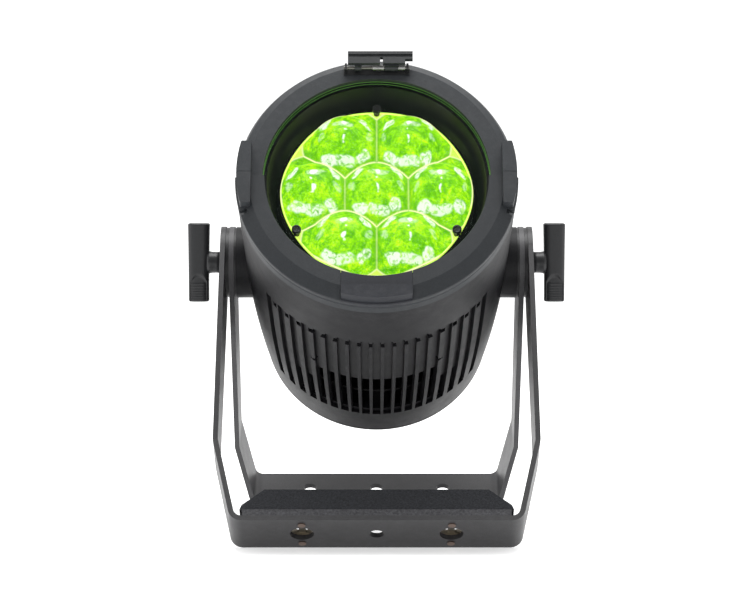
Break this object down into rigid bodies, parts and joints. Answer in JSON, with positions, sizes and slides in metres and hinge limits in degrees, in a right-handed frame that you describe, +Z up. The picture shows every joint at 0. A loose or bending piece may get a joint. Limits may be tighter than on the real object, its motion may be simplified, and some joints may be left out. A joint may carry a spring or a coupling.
{
  "type": "par can stage light",
  "caption": "Zoom par can stage light: a ribbed cylindrical head with a domed lens array and accessory rail, tilting between two splayed U-shaped yokes clamped by T handles.",
  "frame": {"origin": "middle of the base on the floor, under the centre of the bounding box", "axes": "+Z up, +X to the right seen from the front along the tilt axis, the beam leaves towards -Y"},
  "size_m": [0.379, 0.4375, 0.4693],
  "materials": {
    "yoke_black": "fine textured black powder coat",
    "carrier_grey": "rough dark grey strip",
    "foam_black": "dense grainy foam rubber",
    "zinc": "zinc plated",
    "washer_nylon": "smooth nylon",
    "knob_plastic": "satin moulded",
    "housing_black": "die cast, fine textured black powder coat",
    "bezel_black": "die cast, fine textured black powder coat",
    "rail_black": "die cast, fine textured black powder coat",
    "latch_black": "black paint over steel",
    "clear_glass": "clear, green edge",
    "gasket_rubber": "matte",
    "baffle_gloss": "dark glossy",
    "inner_black": "satin black",
    "lens_clear": "clear acrylic over green light",
    "bare_aluminium": "milled",
    "circuit_board": "solder mask",
    "led_package": "phosphor and silicone",
    "motor_steel": "plain sheet",
    "fan_plastic": "moulded",
    "panel_plastic": "satin moulded",
    "display_dark": "smooth window",
    "socket_plastic": "moulded",
    "vent_plastic": "moulded",
    "eye_steel": "black paint over steel"
  },
  "bodies": {
    "outer_yoke": {"outer_yoke": "yoke_black", "buffer_carrier": "carrier_grey", "yoke_buffer": "foam_black", "quarter_turn_receptacles": "zinc", "receptacle_rivets": "zinc", "yoke_spacers": "washer_nylon"},
    "inner_yoke": {"inner_yoke": "yoke_black"},
    "head": {"main_housing": "housing_black", "friction_discs": "washer_nylon", "rear_cap": "housing_black", "rear_cap_screws": "zinc", "front_bezel": "bezel_black", "bezel_screws": "zinc", "accessory_rail": "rail_black", "upper_side_guides": "bezel_black", "bottom_guide": "bezel_black", "latch_bracket": "latch_black", "latch_pin": "zinc", "latch_spring": "zinc", "front_glass": "clear_glass", "glass_gasket": "gasket_rubber", "glass_retainer": "inner_black", "baffle_tube": "baffle_gloss", "guide_rods": "zinc", "zoom_motor": "motor_steel", "chassis_plate": "bare_aluminium", "deck_screws": "zinc", "led_board": "circuit_board", "led_emitters": "led_package", "heat_sink": "bare_aluminium", "fan_frame": "fan_plastic", "equipment_tray": "inner_black", "tray_screws": "zinc", "power_supply": "motor_steel", "driver_board": "circuit_board", "control_panel": "panel_plastic", "display_window": "display_dark", "power_inlet": "socket_plastic", "power_outlet": "socket_plastic", "data_inlet": "socket_plastic", "data_outlet": "socket_plastic", "pressure_vent": "vent_plastic", "safety_eye": "eye_steel"},
    "tilt_knob_left": {"tilt_knob_left": "knob_plastic", "knob_stud_left": "zinc"},
    "tilt_knob_right": {"tilt_knob_right": "knob_plastic", "knob_stud_right": "zinc"},
    "latch": {"latch_plate": "latch_black"},
    "lens_carriage": {"lens_array": "lens_clear", "lens_carrier": "inner_black"},
    "zoom_screw": {"zoom_screw": "zinc"},
    "fan": {"fan_rotor": "fan_plastic"},
    "menu_button_1": {"menu_button_1": "panel_plastic"},
    "menu_button_2": {"menu_button_2": "panel_plastic"},
    "menu_button_3": {"menu_button_3": "panel_plastic"},
    "menu_button_4": {"menu_button_4": "panel_plastic"}
  },
  "joints": [
    {"name": "inner_yoke_fold", "type": "hinge", "parent": "outer_yoke", "child": "inner_yoke", "pos_m": [0, 0.0105, 0.26073], "axis": [1, 0, 0], "range_deg": [-63, 75]},
    {"name": "head_tilt", "type": "hinge", "parent": "outer_yoke", "child": "head", "pos_m": [0, 0.0105, 0.26073], "axis": [1, 0, 0], "range_deg": [-120, 120]},
    {"name": "left_knob_turn", "type": "hinge", "parent": "head", "child": "tilt_knob_left", "pos_m": [0, 0.0105, 0.26073], "axis": [-1, 0, 0], "range_deg": [0, 180]},
    {"name": "right_knob_turn", "type": "hinge", "parent": "head", "child": "tilt_knob_right", "pos_m": [0, 0.0105, 0.26073], "axis": [1, 0, 0], "range_deg": [0, 180]},
    {"name": "latch_swing", "type": "hinge", "parent": "head", "child": "latch", "pos_m": [0, -0.08661, 0.45332], "axis": [1, 0, 0], "range_deg": [0, 95], "stiffness_Nm_per_rad": 0.05, "springref_deg": -20.05},
    {"name": "zoom_slide", "type": "slide", "parent": "head", "child": "lens_carriage", "axis": [0, -0.8643, 0.503], "range_m": [-0.04, 0.003]},
    {"name": "zoom_screw_turn", "type": "hinge", "parent": "head", "child": "zoom_screw", "pos_m": [0, -0.0492, 0.39672], "axis": [0, -0.8643, 0.503], "range_deg": [-905, 70]},
    {"name": "fan_spin", "type": "hinge", "parent": "head", "child": "fan", "pos_m": [0, 0.04939, 0.2381], "axis": [0, -0.8643, 0.503], "continuous": true},
    {"name": "menu_button_1_press", "type": "slide", "parent": "head", "child": "menu_button_1", "axis": [0, -0.8643, 0.503], "range_m": [0, 0.0012], "stiffness_N_per_m": 400, "springref_m": -0.0005},
    {"name": "menu_button_2_press", "type": "slide", "parent": "head", "child": "menu_button_2", "axis": [0, -0.8643, 0.503], "range_m": [0, 0.0012], "stiffness_N_per_m": 400, "springref_m": -0.0005},
    {"name": "menu_button_3_press", "type": "slide", "parent": "head", "child": "menu_button_3", "axis": [0, -0.8643, 0.503], "range_m": [0, 0.0012], "stiffness_N_per_m": 400, "springref_m": -0.0005},
    {"name": "menu_button_4_press", "type": "slide", "parent": "head", "child": "menu_button_4", "axis": [0, -0.8643, 0.503], "range_m": [0, 0.0012], "stiffness_N_per_m": 400, "springref_m": -0.0005}
  ],
  "couplings": [
    {"joint": "zoom_screw_turn", "follows": "zoom_slide", "rad_per_m": 392.7}
  ]
}
